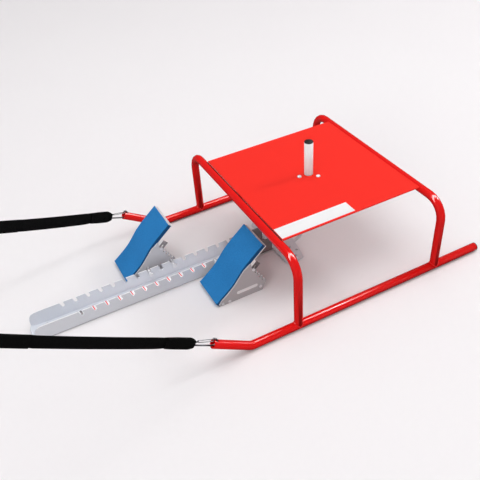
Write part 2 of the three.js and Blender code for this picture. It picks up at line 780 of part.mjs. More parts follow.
function pedalLabel(side) {
  const half = pedalLabelWidth / 2;
  const direction = new THREE.Vector2(Math.cos(pedalLabelSlope), Math.sin(pedalLabelSlope));
  const start = new THREE.Vector2(pedalLabelRun, pedalLabelHeight);
  return across(capsule(start, direction, pedalLabelLength - pedalLabelWidth, half),
    ...outward(side, outerSide[1], outerSide[1] + labelSkin));
}

const pedalNotch = { far: farPedalNotch, near: farPedalNotch + pitchesApart };
const studHeight = railHeight - notchDepth + studDiameter / 2 + seatGap;

for (const side of ['near', 'far']) {
  const pedal = new THREE.Group();
  pedal.position.set(notchPlace(pedalNotch[side]) - pedalFromStud, sideOf[side] * pedalInset, 0);
  block.add(pedal);
  place(`side_inner_${side}`, 'zinc', sidePlate(side, innerSide), undefined, pedal);
  place(`side_outer_${side}`, 'zinc', sidePlate(side, outerSide), undefined, pedal);
  place(`tie_front_${side}`, 'zinc', headedPin(side, frontTie, tieDiameter, tieHeadDiameter), undefined, pedal);
  place(`tie_rear_${side}`, 'zinc', headedPin(side, rearTie, tieDiameter, tieHeadDiameter), undefined, pedal);
  place(`hinge_pin_${side}`, 'zinc', headedPin(side, hinge, hingeDiameter, hingeHeadDiameter), undefined, pedal);
  place(`support_rod_${side}`, 'zinc', headedPin(side, rod, rodDiameter, rodHeadDiameter), undefined, pedal);
  place(`foot_plate_${side}`, 'zinc', footPlate(side), undefined, pedal);
  place(`foot_pad_${side}`, 'blue', footPad(side), undefined, pedal);
  for (const i of [0, 1]) {
    place(`stud_${side}_${i + 1}`, 'zinc', stud(side),
      [pedalFromStud + i * studPitches * notchPitch, 0, studHeight], pedal);
  }
  if (side === 'near') {
    place('pedal_label', 'label', pedalLabel(side), undefined, pedal);
  }
}

// Tow lines. Each is drawn in the frame of its pull: x out along the pull from the hook
// hole, z square to it in the upright plane, y across.

const wireRadius = hookWire / 2;
const bigEnd = new THREE.Vector2(hookSeat, -hookDrop);
const smallEnd = new THREE.Vector2(hookSeat + hookSpan, -hookDrop);
const legLean = Math.asin((hookBigRadius - hookSmallRadius) / hookSpan);
const legNormal = new THREE.Vector2(Math.sin(legLean), Math.cos(legLean));
const noseAt = bigEnd.clone().addScaledVector(legNormal, hookBigRadius);
const legTop = smallEnd.clone().addScaledVector(legNormal, hookSmallRadius);
const pivotAt = legTop.clone().addScaledVector(noseAt.clone().sub(legTop).normalize(), gateSetback);

function roundEnd(centre, radius, from, to, steps) {
  return Array.from({ length: steps + 1 }, (_, i) => {
    const angle = from + ((to - from) * i) / steps;
    return new THREE.Vector3(centre.x + radius * Math.cos(angle), 0, centre.y + radius * Math.sin(angle));
  });
}

// Wire body of the snap hook, from its nose round the large end and the small end.
function hookRoute() {
  const quarter = Math.PI / 2;
  return [
    ...roundEnd(bigEnd, hookBigRadius, quarter - legLean, 3 * quarter + legLean, 2 * bendSteps),
    ...roundEnd(smallEnd, hookSmallRadius, -quarter + legLean, quarter - legLean, bendSteps + 2),
    new THREE.Vector3(pivotAt.x, 0, pivotAt.y).addScaledVector(
      new THREE.Vector3(-legNormal.y, 0, legNormal.x), gateWire),
  ];
}

function snapHook() {
  const ball = new THREE.SphereGeometry(noseBall / 2, boreSides, bendSteps).translate(noseAt.x, 0, noseAt.y);
  const pivotHole = across(circle(clearRadius(gateWire), boreSides), -hookWire, hookWire).translate(pivotAt.x, 0, pivotAt.y);
  return cut(joined(swept(hookRoute(), wireRadius, 0, boreSides), ball), pivotHole);
}

// Bent-wire gate, drawn about its pivot: two legs that meet in a bow under the nose.
function gate() {
  const spread = wireRadius + gateWire / 2 + seatGap;
  const tip = noseAt.clone().addScaledVector(legNormal, -(noseBall + gateWire) / 2 - seatGap).sub(pivotAt);
  const at = (x, y, z) => new THREE.Vector3(x, y, z);
  const stations = roundedRoute([
    at(0, -gateWire / 2, 0), at(0, -spread, 0), at(tip.x, -spread, tip.y),
    at(tip.x, spread, tip.y), at(0, spread, 0), at(0, gateWire / 2, 0),
  ], [gatePivotBend, gateBowBend, gateBowBend, gatePivotBend], bendSteps / 2);
  return swept(stations, gateWire / 2, 0, gateSides);
}

// Webbing strap on edge: folded round the hook at one end, sewn into an eye at the other.
function strap(length, lift) {
  const wire = hookWire / 2 + seatGap;
  const tip = smallEnd.x + hookSmallRadius - wire - strapThickness;
  const end = tip + length;
  const half = strapThickness / 2;
  const eyeHalf = strapEyeOpening / 2;
  const eyeStart = end - strapEyeLength;
  const runs = range(1, strapRuns).map((i) => tip + strapSewn + ((eyeStart - 2 * strapSewn - tip) * i) / strapRuns);
  const flank = [
    [tip, strapThickness], [tip + strapThickness, wire + strapFoldSkin],
    [tip + strapThickness + 2 * wire, wire + strapFoldSkin], [tip + strapFoldLength, strapThickness],
    [tip + strapSewn, strapThickness], [tip + strapSewn + half, half], ...runs.map((x) => [x, half]),
    [eyeStart - strapSewn - half, half], [eyeStart - strapSewn, strapThickness],
    [eyeStart - strapEyeOpening, strapThickness], [eyeStart, eyeHalf + strapThickness],
    [end - eyeHalf, eyeHalf + strapThickness], [end, eyeHalf],
  ];
  const outline = polygon([...flank.map(([x, y]) => [x, -y]), ...flank.map(([x, y]) => [x, y]).reverse()]);
  outline.holes.push(new THREE.Path(capsule(new THREE.Vector2(eyeStart, 0), new THREE.Vector2(1, 0),
    strapEyeLength - eyeHalf - strapThickness, eyeHalf - strapThickness / 2).getPoints()));
  const web = raised(outline, -strapWidth / 2, strapWidth / 2);
  const gathered = across(polygon([
    [tip, -strapTipWidth / 2], [tip + strapFoldLength, -strapWidth / 2], [end, -strapWidth / 2],
    [end, strapWidth / 2], [tip + strapFoldLength, strapWidth / 2], [tip, strapTipWidth / 2],
  ]), -strapWidth, strapWidth);
  const body = common(web, gathered);
  const position = body.attributes.position;
  for (let i = 0; i < position.count; i++) {
    const share = Math.max(0, (position.getX(i) - tip - strapSewn) / (length - strapSewn));
    position.setZ(i, position.getZ(i) - strapSagShare * length * 4 * share * (1 - share));
  }
  body.translate(-smallEnd.x, 0, 0).rotateY(-lift).translate(smallEnd.x, 0, smallEnd.y);
  return cut(body, swept(hookRoute(), wire, 0, boreSides));
}

const pullYaw = { near: nearPullYaw, far: farPullYaw };
const strapLength = { near: strapLengthNear, far: strapLengthFar };
const strapLift = { near: strapLiftNear, far: strapLiftFar };

for (const side of ['near', 'far']) {
  const line = new THREE.Group();
  const pull = new THREE.Vector3(-Math.cos(hookRise) * Math.cos(pullYaw[side]),
    Math.cos(hookRise) * Math.sin(pullYaw[side]), Math.sin(hookRise));
  const sideways = new THREE.Vector3(0, 0, 1).cross(pull).normalize();
  line.quaternion.setFromRotationMatrix(new THREE.Matrix4().makeBasis(pull, sideways, pull.clone().cross(sideways)));
  line.position.copy(atMouth(side, -hookHoleSetback, tubeRadius - tubeWall / 2));
  part.add(line);
  place(`snap_hook_${side}`, 'zinc', snapHook(), undefined, line);
  place(`hook_gate_${side}`, 'zinc', gate(), [pivotAt.x, 0, pivotAt.y], line);
  place(`strap_${side}`, 'webbing', strap(strapLength[side], strapLift[side]), undefined, line);
}

export default part;
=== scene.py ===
"""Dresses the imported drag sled: camera, studio, finishes, straps, pads, welds and the setting scale.

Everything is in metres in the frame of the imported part: +X to the rear of the sled, +Y to
the far runner, +Z up. A piece's place is in its mesh, and its object stays at the origin.
"""

import json
import math

import bmesh
import bpy
import numpy as np
from mathutils import Matrix


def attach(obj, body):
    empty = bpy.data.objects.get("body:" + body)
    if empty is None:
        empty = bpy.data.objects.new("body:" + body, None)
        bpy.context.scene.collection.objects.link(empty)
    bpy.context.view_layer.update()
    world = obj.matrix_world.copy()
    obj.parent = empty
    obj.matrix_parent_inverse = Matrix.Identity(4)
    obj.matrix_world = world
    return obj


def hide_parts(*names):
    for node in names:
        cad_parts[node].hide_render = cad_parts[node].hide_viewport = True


SIDES = ("near", "far")
SIDE_SIGN = {"near": -1.0, "far": 1.0}

# Camera: its roll in degrees, its lens and sensor in millimetres
CAMERA_PLACE = (-0.6740, -1.4771, 1.4169)
CAMERA_FORWARD = (0.32439, 0.70667, -0.62880)
CAMERA_ROLL = -4.761
LENS_LENGTH = 47.594
SENSOR_WIDTH = 36

# Light, as shares of the level at which a colour renders as it is written
SKY_LIGHT = 0.57
KEY_LIGHT = 0.11
TOP_LIGHT = 0.34
FRONT_LIGHT = 0.08
BACKDROP_LEVEL = 0.92
MIRROR_LEVEL = 0.08
MIRROR_BAND = 22.0

# Bright band overhead, on directions of length 1: its middle in y, its soft edges from there, and its
# soft end in z
BAND_MIDDLE = 0.06
BAND_EDGES = (0.07, 0.14)
BAND_LOW = (0.3, 0.5)

FLOOR_SIZE = 16
FLOOR_HEIGHT = -0.0005

# Sled frame
RUNNER_Y = 0.350
TUBE_RADIUS = 0.0135
ARCH_X = (0.0125, 0.5265)
DECK_UNDER = 0.2638
DECK_HALF = 0.252
BEAD_RADIUS = 0.0022
BEAD_RIPPLE = 0.12
BEAD_RIPPLES = 26
BEAD_PLACES = 72
BEAD_SIDES = 10

# Painted shade in the crease beside the deck: where it starts behind the front arch's middle, how far
# past the tube it ends, and its depth below the deck
CREASE_START = (0.0034, 0.0054)
CREASE_END = 0.002
CREASE_DEPTH = 0.012

# Tow straps, each in its own frame at the hook's small end: along the strap, across, and square to both
STRAP_ORIGIN = {"near": (-0.315823, -0.347436, 0.116027), "far": (-0.325284, 0.327519, 0.124624)}
STRAP_ALONG = {"near": (-0.86965, 0.03493, 0.49242), "far": (-0.83551, -0.31405, 0.45088)}
STRAP_ACROSS = {"near": (-0.04013, -0.99919, 0.0), "far": (0.35184, -0.93606, 0.0)}
STRAP_UP = {"near": (0.49202, -0.01976, 0.87035), "far": (0.42205, 0.15864, 0.89258)}
STRAP_LENGTH = {"near": 0.585, "far": 0.500}
STRAP_TIP = -0.0002
STRAP_WIDTH = 0.040
STRAP_TIP_WIDTH = 0.018
STRAP_THICKNESS = 0.0029
STRAP_FOLD = 0.026
STRAP_SEWN = 0.090
STRAP_SAG_SHARE = 0.006
STRAP_EYE = 0.046
STRAP_EYE_HALF = 0.009
STRAP_NECK = 0.022
LAYER_GAP = 0.00008
LAYERS_MEET = 0.012
ROUTE_STEP = 0.01
SEAM_PINCH = 0.0012
SEAM_PINCH_RUN = 0.02
HOOK_WIRE_RADIUS = 0.0028

# Places along a strap's route: round the wire, round the eye, easing, along one layer, and along the run
WIRE_PLACES = 11
EYE_PLACES = 13
EASE_PLACES = 6
LAYER_PLACES = 8
RUN_PLACES = 28

# Stitches, and the sewn boxes: half their height, and how far they stay from the fold, seam and eye
STITCH_PITCH = 0.0042
STITCH_LENGTH = 0.0030
STITCH_RADIUS = 0.00055
STITCH_FLATNESS = 0.6
STITCH_LIFT = 0.0001
STITCH_SIDES = 6
SEWN_BOX_HALF = 0.0155
FOLD_MARGIN = 0.004
SEAM_MARGIN = 0.005
EYE_MARGIN = 0.026

# Rail of the starting block, and the film with its ticks. The painted shadow on the rail's tail grows
# over a span of x, and the painted contact shadow along its fold over a span of z
RAIL_NOSE = (-0.705, 0.0438)
RAIL_HALF = 0.0365
RAIL_HEIGHT = 0.0556
RAIL_SHEET = 0.0015
TAIL_SHADOW_SPAN = (-0.03, 0.02)
FOLD_SHADOW_SPAN = (0.0018, 0.0036)
TOOTH_TOP = 0.004
TICKS = 15
FIRST_TICK = 0.1577
TICK_PITCH = 0.0431
TICK_WIDTH = 0.0034
TICK_LEAN = 0.0019
TICK_SPAN = (0.0025, 0.0235)
FILM_SPAN = (-0.030, 0.0225)
FILM_ENDS = (0.105, 0.790)
FILM_HEIGHT = 0.0031
PRINT_SKIN = 0.0003

# Pedals: the pad's face starts at the pedal's origin (x, y), on its base, and bows off the straight line
PEDAL_ORIGIN = {"near": (-0.1629, -0.0194), "far": (-0.3719, 0.1070)}
PAD_WIDTH = 0.1249
PAD_THICKNESS = 0.013
PAD_BACK_GAP = 0.0003
PAD_RUN = 0.1771
PAD_RISE = 0.1682
PAD_BASE = 0.013
PAD_BOW = (
    (0, 0), (0.14, -0.02), (0.3, -0.03), (0.44, -0.007),
    (0.56, 0.018), (0.72, 0.022), (0.86, 0.012), (1, 0),
)
PAD_END = 0.988
PAD_EDGE = 0.0022
PAD_ROWS = 84
PAD_COLUMNS = 25
PAD_ROUND_STEPS = 6
# Depth below the pad's face past which a foot plate's ears take their painted shade
EAR_DEPTH = 0.022

# Skin of every coat, skin of the block's bare sheet, and the colours that more than one sheet has:
# PEDAL_SHADE is painted shade inside the pedals, and PALE_EDGE pales the foot plates' edges, a painted
# highlight at their upper end
COAT_LUMPS = 0.5
COAT_DEPTH = 0.00003
SHEET_SKIN = {"rough": 0.45, "scale": 26.0, "amount": 0.5, "grain": 500.0, "level": 0.4}
PEDAL_SHADE = (0.17, 0.15, 0.155)
PALE_EDGE = (0.97, 0.96, 0.96)

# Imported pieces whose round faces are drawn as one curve
ROUND_NODES = (
    "runner_near", "runner_far", "front_arch", "rear_arch", "weight_post", "post_plug", "post_bolt_1",
    "post_bolt_2", "post_bolt_3", "snap_hook_near", "snap_hook_far", "hook_gate_near", "hook_gate_far",
    "stud_near_1", "stud_near_2", "stud_far_1", "stud_far_2", "hinge_pin_near", "hinge_pin_far",
)

# Edges steeper than this, in degrees, stay crisp on hard and on soft pieces
HARD_CREASE = 35
SOFT_CREASE = 50
SAME_POINT = 0.00001


def unit(vector):
    """A vector over its own length."""
    vector = np.asarray(vector, float)
    return vector / np.linalg.norm(vector)


def full_turn(steps):
    """Angles at even steps round one full turn, from 0."""
    return np.linspace(0, 2 * math.pi, steps + 1)[:-1]


# Camera and studio


def make_camera():
    """Sets the view: right = forward x up, then right and up turned about forward by the roll."""
    forward = unit(CAMERA_FORWARD)
    level = unit(np.cross(forward, (0, 0, 1)))
    upright = np.cross(level, forward)
    roll = math.radians(CAMERA_ROLL)
    right = level * math.cos(roll) + upright * math.sin(roll)
    up = upright * math.cos(roll) - level * math.sin(roll)
    lens = bpy.data.cameras.new("photo_camera")
    lens.sensor_width = SENSOR_WIDTH
    lens.lens = LENS_LENGTH
    lens.clip_end = 50
    camera = bpy.data.objects.new("photo_camera", lens)
    matrix = np.eye(4)
    matrix[:3, 0], matrix[:3, 1], matrix[:3, 2] = right, up, -forward
    matrix[:3, 3] = CAMERA_PLACE
    camera.matrix_world = Matrix(matrix.tolist())
    bpy.context.scene.collection.objects.link(camera)
    bpy.context.scene.camera = camera


def lamp_power(share, distance, slant):
    """Power of a lamp that lights a level floor to this share of full light:
    share x pi^2 x distance^2 / cos(slant)."""
    return share * math.pi**2 * distance**2 / math.cos(slant)


def area_lamp(name, place, target, along, sizes, share, mirrored=False):
    """A lamp at a place, its face turned to the target, its first side laid along a direction."""
    lamp = bpy.data.lights.new(name, "AREA")
    lamp.shape = "RECTANGLE"
    lamp.size, lamp.size_y = sizes
    reach = np.subtract(place, target)
    away = unit(reach)
    lamp.energy = lamp_power(share, np.linalg.norm(reach), math.acos(away[2]))
    obj = bpy.data.objects.new(name, lamp)
    side = unit(along - away * np.dot(along, away))
    matrix = np.eye(4)
    matrix[:3, 0], matrix[:3, 1], matrix[:3, 2] = side, np.cross(away, side), away
    matrix[:3, 3] = place
    obj.matrix_world = Matrix(matrix.tolist())
    obj.visible_glossy = mirrored
    bpy.context.scene.collection.objects.link(obj)


def make_studio():
    """A pale floor, a dome of light, wide lamps above and in front, and a small one low behind."""
    bpy.ops.mesh.primitive_plane_add(size=FLOOR_SIZE, location=(0, 0, FLOOR_HEIGHT))
    floor = bpy.context.object
    floor.name = "floor"
    floor.data.materials.append(floor_finish())
    world = bpy.data.worlds.new("studio")
    bpy.context.scene.world = world
    world.use_nodes = True
    light_sky(world)
    area_lamp("key_lamp", (5.7, -0.5, 4.0), (0, 0, 0), (0, 1, 0), (1.0, 1.0), KEY_LIGHT, mirrored=True)
    area_lamp("overhead_lamp", (0.2, 0.2, 5.0), (0, 0, 0), (1, 0, 0), (4.4, 4.4), TOP_LIGHT)
    area_lamp("front_lamp", (-4.5, -3.5, 3.0), (0, 0, 0.1), (1, 0, 0), (3.0, 3.0), FRONT_LIGHT)


def light_sky(world):
    """Even dome of light, seen pale behind the floor.

    Gloss mirrors it dimmer, but for one bright band from front to rear overhead: the directions whose y
    is near the band's middle and whose z is high."""
    shader = Shader(world.node_tree)
    sky = world.node_tree.nodes["Background"]
    _, y, z = shader.axes(shader.add("ShaderNodeTexCoord").outputs["Generated"])
    aside = shader.size(shader.maths("SUBTRACT", y, BAND_MIDDLE))
    band = shader.product(shader.span(aside, *BAND_EDGES, 1.0, 0.0), shader.span(z, *BAND_LOW, 0.0, 1.0))
    mirrored = shader.span(band, 0.0, 1.0, MIRROR_LEVEL, MIRROR_BAND)
    path = shader.add("ShaderNodeLightPath")
    seen = shader.choose(path.outputs["Is Camera Ray"], SKY_LIGHT, BACKDROP_LEVEL)
    shader.feed(sky.inputs["Strength"], shader.choose(path.outputs["Is Glossy Ray"], seen, mirrored))
    sky.inputs["Color"].default_value = (1.0, 0.99, 0.995, 1)


# Shader building


class Shader:
    """Builds one node tree: add() places a node with its settings and sockets, feed() fills one socket
    with a value or a link, and the others place one kind of node each."""

    def __init__(self, tree):
        self.tree = tree

    def add(self, kind, settings=None, **sockets):
        """A socket is given by its name, with _ for a space, or by its number, as s0 or s1."""
        made = self.tree.nodes.new(kind)
        for key, value in (settings or {}).items():
            setattr(made, key, value)
        for key, value in sockets.items():
            name = key.replace("_", " ")
            socket = made.inputs[int(name[1:])] if name[1:].isdigit() else made.inputs[name]
            self.feed(socket, value)
        return made

    def feed(self, socket, value):
        if isinstance(value, bpy.types.NodeSocket):
            self.tree.links.new(value, socket)
        elif isinstance(value, tuple) and len(value) == 3 and socket.type == "RGBA":
            socket.default_value = (*value, 1)
        else:
            socket.default_value = value

    def maths(self, operation, a, b=0.0, clamp=False):
        settings = {"operation": operation, "use_clamp": clamp}
        return self.add("ShaderNodeMath", settings, s0=a, s1=b).outputs[0]

    def product(self, a, b):
        return self.maths("MULTIPLY", a, b)

    def size(self, value):
        """The value without its sign."""
        return self.maths("ABSOLUTE", value)

    def more(self, value, limit):
        """1 where the value is more than the limit, otherwise 0."""
        return self.maths("GREATER_THAN", value, limit)

    def less(self, value, limit):
        """1 where the value is less than the limit, otherwise 0."""
        return self.maths("LESS_THAN", value, limit)

    def axes(self, vector):
        """The x, y and z of a vector."""
        return self.add("ShaderNodeSeparateXYZ", None, Vector=vector).outputs

    def blend(self, share, low, high):
        """The low colour, the high one, or between them by the share."""
        mix = self.add("ShaderNodeMix", {"data_type": "RGBA"}, Factor=share)
        self.feed(mix.inputs[6], low)
        self.feed(mix.inputs[7], high)
        return mix.outputs[2]

    def choose(self, share, low, high):
        """The low number, the high one, or between them by the share."""
        mix = self.add("ShaderNodeMix", {"data_type": "FLOAT"}, Factor=share)
        self.feed(mix.inputs[2], low)
        self.feed(mix.inputs[3], high)
        return mix.outputs[0]

    def span(self, value, from_low, from_high, to_low, to_high):
        """The value's place between two numbers, carried over to two others and held between them."""
        return self.add(
            "ShaderNodeMapRange", None, Value=value, From_Min=from_low, From_Max=from_high,
            To_Min=to_low, To_Max=to_high,
        ).outputs[0]

    def noise(self, vector, scale, detail=2.0, roughness=0.5):
        return self.add(
            "ShaderNodeTexNoise", None, Vector=vector, Scale=scale, Detail=detail, Roughness=roughness
        ).outputs["Fac"]


def new_group(name, inputs, outputs):
    """An empty node group with these (name, kind, value) inputs and (name, kind) outputs."""
    group = bpy.data.node_groups.new(name, "ShaderNodeTree")
    for label, kind, value in inputs:
        socket = group.interface.new_socket(label, in_out="INPUT", socket_type="NodeSocket" + kind)
        if value is not None:
            socket.default_value = value
    for label, kind in outputs:
        group.interface.new_socket(label, in_out="OUTPUT", socket_type="NodeSocket" + kind)
    shader = Shader(group)
    return group, shader, shader.add("NodeGroupInput"), shader.add("NodeGroupOutput")


def make_handling_wear():
    """Scuffs: stretched noise past a threshold, broken up by a coarse cloud of noise."""
    group, shader, given, out = new_group(
        "handling_wear",
        [("Vector", "Vector", None), ("Scale", "Float", 40.0), ("Amount", "Float", 0.3)],
        [("Scuffs", "Float"), ("Cloud", "Float")],
    )
    turned = shader.add(
        "ShaderNodeMapping", None, Vector=given.outputs["Vector"], Rotation=(0.3, 0.2, 0.9),
        Scale=(1.0, 9.0, 3.0),
    ).outputs[0]
    lines = shader.noise(turned, given.outputs["Scale"], 4.0, 0.65)
    cloud = shader.noise(given.outputs["Vector"], shader.product(given.outputs["Scale"], 0.35), 3.0)
    edge = shader.maths("SUBTRACT", 0.80, shader.product(given.outputs["Amount"], 0.25))
    sharp = shader.span(lines, 0.60, 0.72, 0.0, 1.0)
    clouded = shader.span(cloud, shader.maths("SUBTRACT", edge, 0.2), edge, 0.0, 1.0)
    shader.feed(out.inputs["Scuffs"], shader.product(sharp, clouded))
    shader.feed(out.inputs["Cloud"], cloud)
    return group


def make_fine_texture():
    """Height of a skin: fine noise and coarser lumps, added in the given share."""
    group, shader, given, out = new_group(
        "fine_texture",
        [("Vector", "Vector", None), ("Scale", "Float", 900.0), ("Lumps", "Float", 0.3)],
        [("Height", "Float"), ("Grains", "Float")],
    )
    fine = shader.noise(given.outputs["Vector"], given.outputs["Scale"], 1.0)
    coarse = shader.noise(given.outputs["Vector"], shader.product(given.outputs["Scale"], 0.22), 2.0)
    share = shader.product(coarse, given.outputs["Lumps"])
    shader.feed(out.inputs["Height"], shader.maths("ADD", fine, share))
    shader.feed(out.inputs["Grains"], fine)
    return group


def make_webbing_weave():
    """Twill of a strap: |sin(u)| x |sin(u + v)|, where u runs along the strap and v across it, in half
    turns per thread."""
    group, shader, given, out = new_group(
        "webbing_weave",
        [("Vector", "Vector", None), ("Thread", "Float", 0.0016)],
        [("Height", "Float")],
    )
    u, v = (
        shader.product(shader.maths("DIVIDE", metres, given.outputs["Thread"]), math.pi)
        for metres in shader.axes(given.outputs["Vector"])[:2]
    )
    ridge = shader.size(shader.maths("SINE", u))
    twill = shader.size(shader.maths("SINE", shader.maths("ADD", v, u)))
    shader.feed(out.inputs["Height"], shader.product(ridge, twill))
    return group


def new_finish(name):
    """A material with a bare Principled shader, and the tools to fill it."""
    material = bpy.data.materials.new(name)
    material.use_nodes = True
    shader = Shader(material.node_tree)
    surface = material.node_tree.nodes["Principled BSDF"]
    place = shader.add("ShaderNodeTexCoord").outputs["Object"]
    return material, shader, surface, place


def add_bump(shader, surface, height, strength, depth):
    """Tilts the shading of a finish by the slope of a height, of which 1 stands for the depth."""
    bump = shader.add("ShaderNodeBump", None, Height=height, Strength=strength, Distance=depth)
    shader.feed(surface.inputs["Normal"], bump.outputs[0])


def floor_finish():
    """Pale studio floor, a little uneven. It throws less light back than it shows, and gloss mirrors it
    dim."""
    material, shader, surface, place = new_finish("pale_floor")
    cloud = shader.noise(place, 0.8, 2.0)
    pale = shader.blend(cloud, (0.90, 0.87, 0.885), (0.92, 0.90, 0.91))
    path = shader.add("ShaderNodeLightPath")
    thrown = shader.blend(path.outputs["Is Diffuse Ray"], pale, (0.62, 0.605, 0.61))
    mirrored = shader.blend(path.outputs["Is Glossy Ray"], thrown, (0.09, 0.088, 0.09))
    shader.feed(surface.inputs["Base Color"], mirrored)
    surface.inputs["Roughness"].default_value = 0.75
    surface.inputs["Specular IOR Level"].default_value = 0.1
    return material


def wear_and_texture(shader, place, scale, amount, grain, lumps, groups):
    """Places the two shared groups in a material and returns their nodes."""
    wear = shader.add(
        "ShaderNodeGroup", {"node_tree": groups["wear"]}, Vector=place, Scale=scale, Amount=amount
    )
    texture = shader.add(
        "ShaderNodeGroup", {"node_tree": groups["texture"]}, Vector=place, Scale=grain, Lumps=lumps
    )
    return wear, texture


def coated_finish(
    name, groups, base, worn, rough, metal=0.0, scale=30.0, amount=0.3, grain=700.0, level=0.5,
    dulling=0.25, tints=(), thrown=None, glow=None,
):
    """Paint or bare metal: the base colour clouded toward the worn one, with scuffs that dull it and a
    fine skin in the bump.

    Each tint (mask, colour) covers the part of the piece that its mask picks out from Object
    coordinates; several tints are painted shade, and some are painted highlights. The thrown colour is
    what bounced light finds in place of all of them, and the emission is a painted glow, as on the film
    and the red ticks."""
    material, shader, surface, place = new_finish(name)
    wear, texture = wear_and_texture(shader, place, scale, amount, grain, COAT_LUMPS, groups)
    shade = shader.span(wear.outputs["Cloud"], 0.3, 0.7, 0.0, 0.35)
    marks = shader.product(wear.outputs["Scuffs"], 0.7)
    share = shader.maths("ADD", shade, marks, clamp=True)
    colour = shader.blend(share, base, worn)
    for mask, tint in tints:
        colour = shader.blend(mask(shader, place), colour, tint)
    if thrown:
        bounced = shader.add("ShaderNodeLightPath").outputs["Is Diffuse Ray"]
        colour = shader.blend(bounced, colour, thrown)
    shader.feed(surface.inputs["Base Color"], colour)
    dulled = min(rough + dulling, 1.0)
    shader.feed(surface.inputs["Roughness"], shader.span(share, 0.0, 1.0, rough, dulled))
    surface.inputs["Metallic"].default_value = metal
    surface.inputs["Specular IOR Level"].default_value = level
    if glow:
        surface.inputs["Emission Color"].default_value = (*glow, 1)
        surface.inputs["Emission Strength"].default_value = 1.0
    add_bump(shader, surface, texture.outputs["Height"], 0.6, COAT_DEPTH)
    return material


def rubber_finish(name, groups, base, dark, cut, end):
    """Granular rubber skin: small grains in colour and bump, painted shade on the cut face at either side
    of the pad and a painted highlight on the one at its upper end."""
    material, shader, surface, place = new_finish(name)
    wear, texture = wear_and_texture(shader, place, 22.0, 0.2, 620.0, 0.9, groups)
    grains = shader.span(texture.outputs["Grains"], 0.35, 0.68, 0.0, 0.8)
    cloudy = shader.product(shader.span(wear.outputs["Cloud"], 0.3, 0.7, 0.0, 1.0), 0.35)
    share = shader.maths("ADD", grains, cloudy, clamp=True)
    # Painted shade on the pad's sides and a painted highlight on its upper end
    side = shader.span(shader.size(facing(shader)[1]), 0.55, 0.8, 0.0, 1.0)
    skin = shader.blend(side, shader.blend(share, base, dark), cut)
    shader.feed(surface.inputs["Base Color"], shader.blend(sheet_end_highlight(shader, place), skin, end))
    surface.inputs["Roughness"].default_value = 0.82
    surface.inputs["Specular IOR Level"].default_value = 0.3
    add_bump(shader, surface, texture.outputs["Height"], 0.8, 0.0004)
    return material


def webbing_finish(name, groups, base, light):
    """Woven strap: threads in colour and bump, from the strap's own map in metres."""
    material, shader, surface, place = new_finish(name)
    strip = shader.add("ShaderNodeUVMap", {"uv_map": "strip"}).outputs[0]
    weave = shader.add("ShaderNodeGroup", {"node_tree": groups["weave"]}, Vector=strip, Thread=0.0017)
    fuzz = shader.noise(place, 420.0, 3.0)
    share = shader.product(weave.outputs["Height"], shader.span(fuzz, 0.3, 0.7, 0.45, 1.0))
    shader.feed(surface.inputs["Base Color"], shader.blend(share, base, light))
    surface.inputs["Roughness"].default_value = 0.85
    surface.inputs["Specular IOR Level"].default_value = 0.08
    add_bump(shader, surface, weave.outputs["Height"], 0.8, 0.0004)
    return material


def deck_crease_shade(shader, place):
    """Mask of the painted shade on the front arch's flank beside the deck's edge: behind the arch's
    middle, high up, and no wider than the deck."""
    x, y, z = shader.axes(place)
    flank = shader.span(x, ARCH_X[0] + CREASE_START[0], ARCH_X[0] + CREASE_START[1], 0.0, 1.0)
    inner = shader.less(x, ARCH_X[0] + TUBE_RADIUS + CREASE_END)
    high = shader.more(z, DECK_UNDER - CREASE_DEPTH)
    beside = shader.less(shader.size(y), DECK_HALF)
    return shader.product(shader.product(flank, inner), shader.product(high, beside))


def facing(shader):
    """The x, y and z of the direction a face is turned to."""
    return shader.axes(shader.add("ShaderNodeNewGeometry").outputs["Normal"])


def underside(shader, place):
    """Mask of the painted shade that grows from the flank of a tube to its underside."""
    return shader.span(facing(shader)[2], -0.7, 0.3, 1.0, 0.0)


def cut_edge_shade(shader, place):
    """Mask of an upright sheet's cut edges, which aren't turned to near or far as its faces are. They take
    painted shade, which darkens the slots.
    """
    return shader.less(shader.size(facing(shader)[1]), 0.5)


def sloping_edge_highlight(shader, place):
    """Mask of a side plate's long front edge, which takes a painted highlight: turned to the nose and
    upward at once.
    """
    x, _, z = facing(shader)
    return shader.product(shader.less(x, -0.4), shader.more(z, 0.4))


def backside_shade(shader, place):
    """Mask of the painted shade on the faces of a foot plate that are turned down, where little daylight
    comes.
    """
    return shader.less(facing(shader)[2], -0.2)


def sheet_end_highlight(shader, place):
    """Mask of the painted highlight on the upper end of a foot plate or a pad: turned to the rear and
    upward at once.
    """
    x, _, z = facing(shader)
    return shader.product(shader.more(x, 0.45), shader.more(z, 0.45))


def below_pad(side, depth):
    """Mask of what lies more than a depth below the straight line over a pad's face:
    along x rise - up x run is more than depth x the line's length."""
    def mask(shader, place):
        x, _, z = shader.axes(place)
        along = shader.maths("SUBTRACT", x, PEDAL_ORIGIN[side][0])
        up = shader.maths("SUBTRACT", z, PAD_BASE)
        drop = shader.maths("SUBTRACT", shader.product(along, PAD_RISE), shader.product(up, PAD_RUN))
        return shader.more(drop, depth * math.hypot(PAD_RUN, PAD_RISE))
    return mask


def sheet_side(shader, place):
    """Mask of a foot plate's side edges and the sides of its ears."""
    return shader.more(shader.size(facing(shader)[1]), 0.8)


def rail_tail_shadow(shader, place):
    """Mask of the painted shadow that grows over the rear end of the rail."""
    return shader.span(shader.axes(place)[0], *TAIL_SHADOW_SPAN, 0.0, 1.0)


